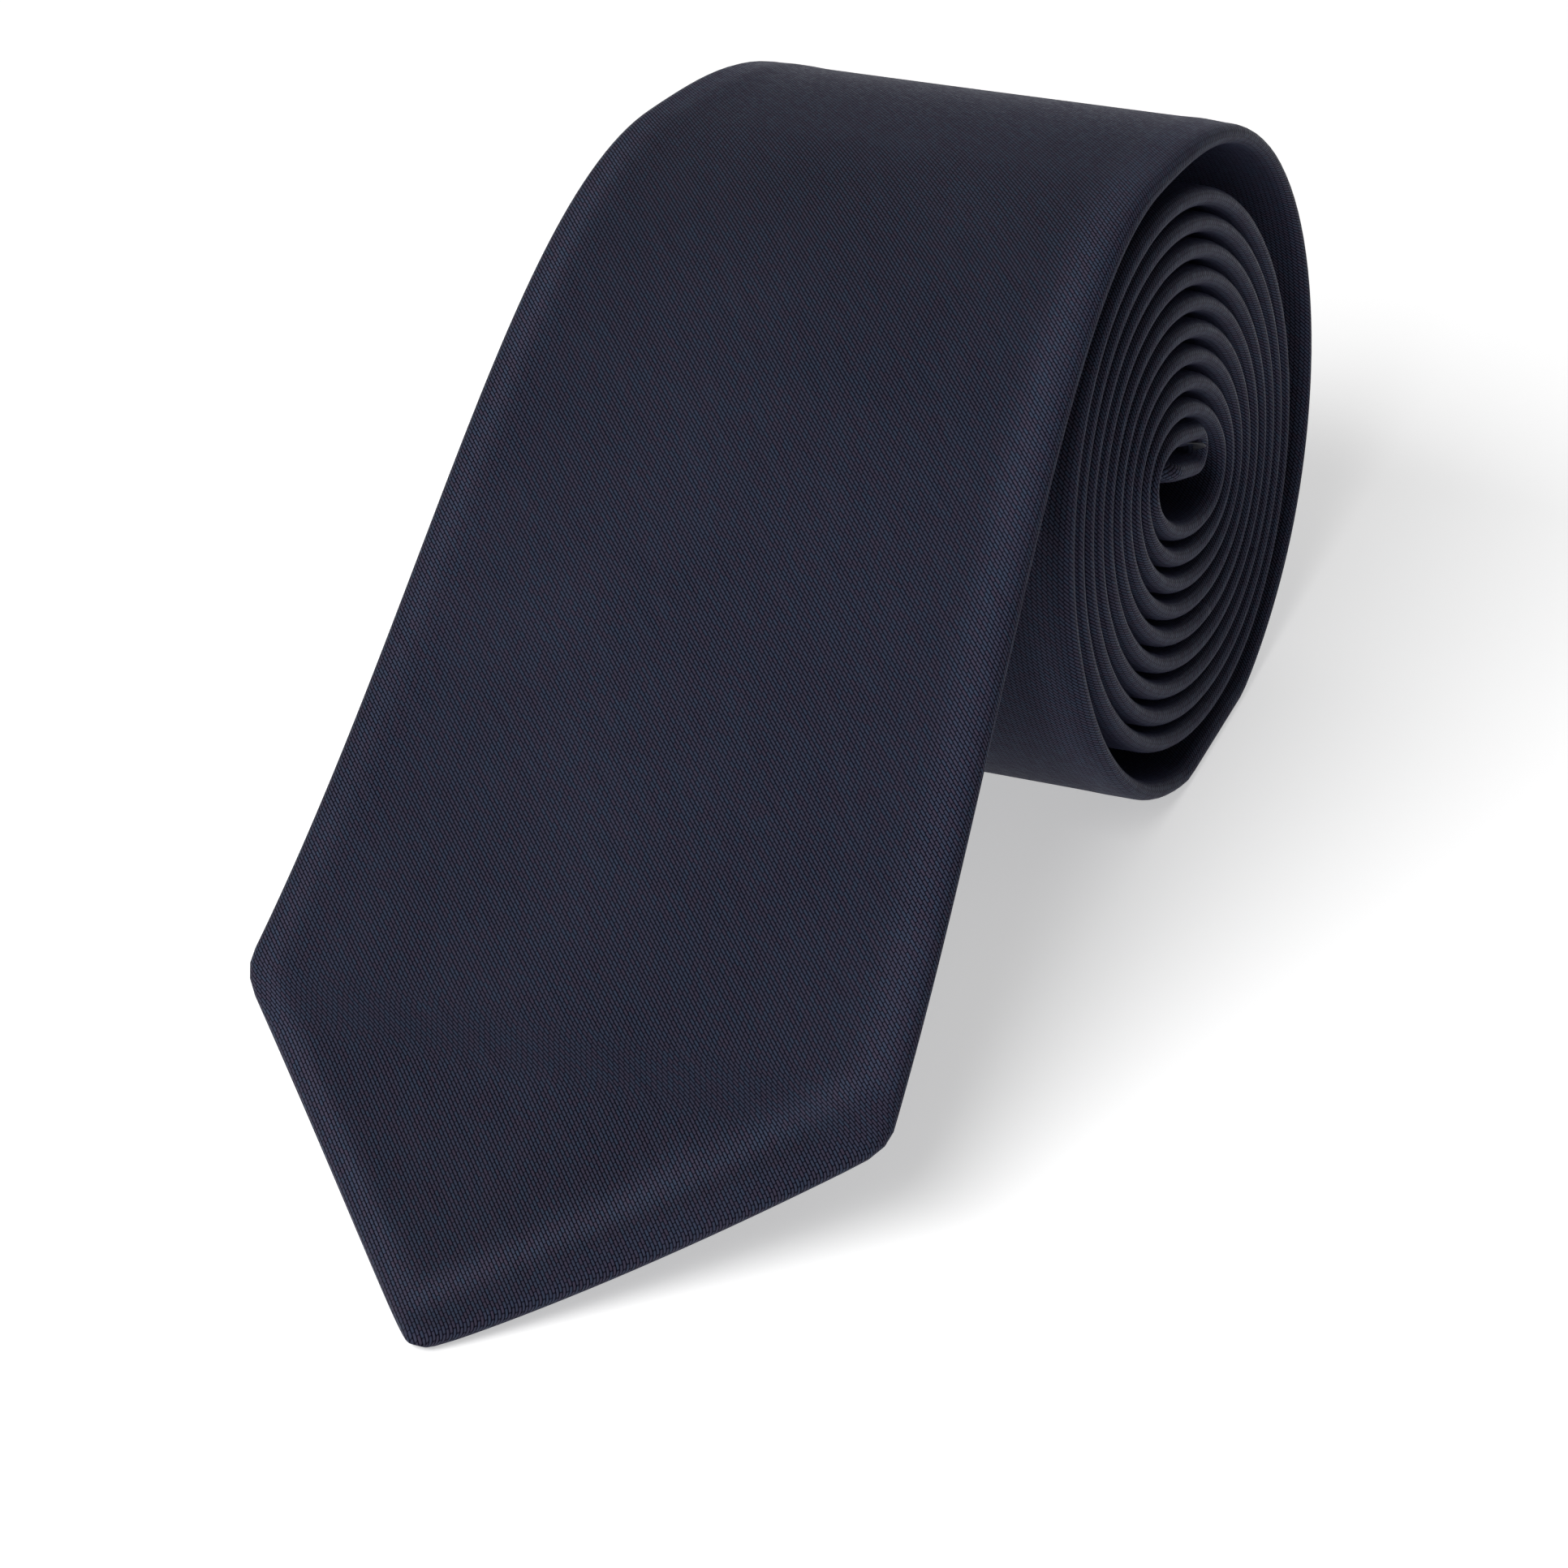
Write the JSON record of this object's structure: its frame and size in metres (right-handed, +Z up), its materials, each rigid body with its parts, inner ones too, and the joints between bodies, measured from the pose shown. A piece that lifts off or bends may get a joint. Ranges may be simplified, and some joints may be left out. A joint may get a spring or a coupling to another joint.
{
  "type": "necktie",
  "caption": "Satin necktie rolled up from its narrow end, its wide pointed blade left free and sloping down to the table; the blade lifts.",
  "frame": {"origin": "middle of the footprint, on the table", "axes": "+X across the tie, -Y the way the blade's tip points, +Z up"},
  "size_m": [0.07, 0.1648, 0.0696],
  "materials": {
    "satin": "navy satin, low sheen",
    "interlining": "brushed wool blend",
    "lining": "plain woven lining",
    "thread": "spun thread",
    "label": "blank woven label"
  },
  "bodies": {
    "roll": {"blade_envelope_rolled": "satin", "neck_envelope": "satin", "tail_envelope": "satin", "interlining_rolled": "interlining", "blade_neck_seam": "thread", "neck_tail_seam": "thread", "tail_tipping": "lining", "slip_stitch_rolled": "thread", "tail_bar_tack": "thread", "keeper_loop": "satin", "label": "label"},
    "blade": {"blade_envelope_free": "satin", "interlining_free": "interlining", "blade_tipping": "lining", "slip_stitch_free": "thread", "blade_bar_tack": "thread"}
  },
  "joints": [
    {"name": "blade_lift", "type": "hinge", "parent": "roll", "child": "blade", "pos_m": [0, -0.00533, 0.05074], "axis": [-1, 0, 0], "range_deg": [0, 40]}
  ]
}
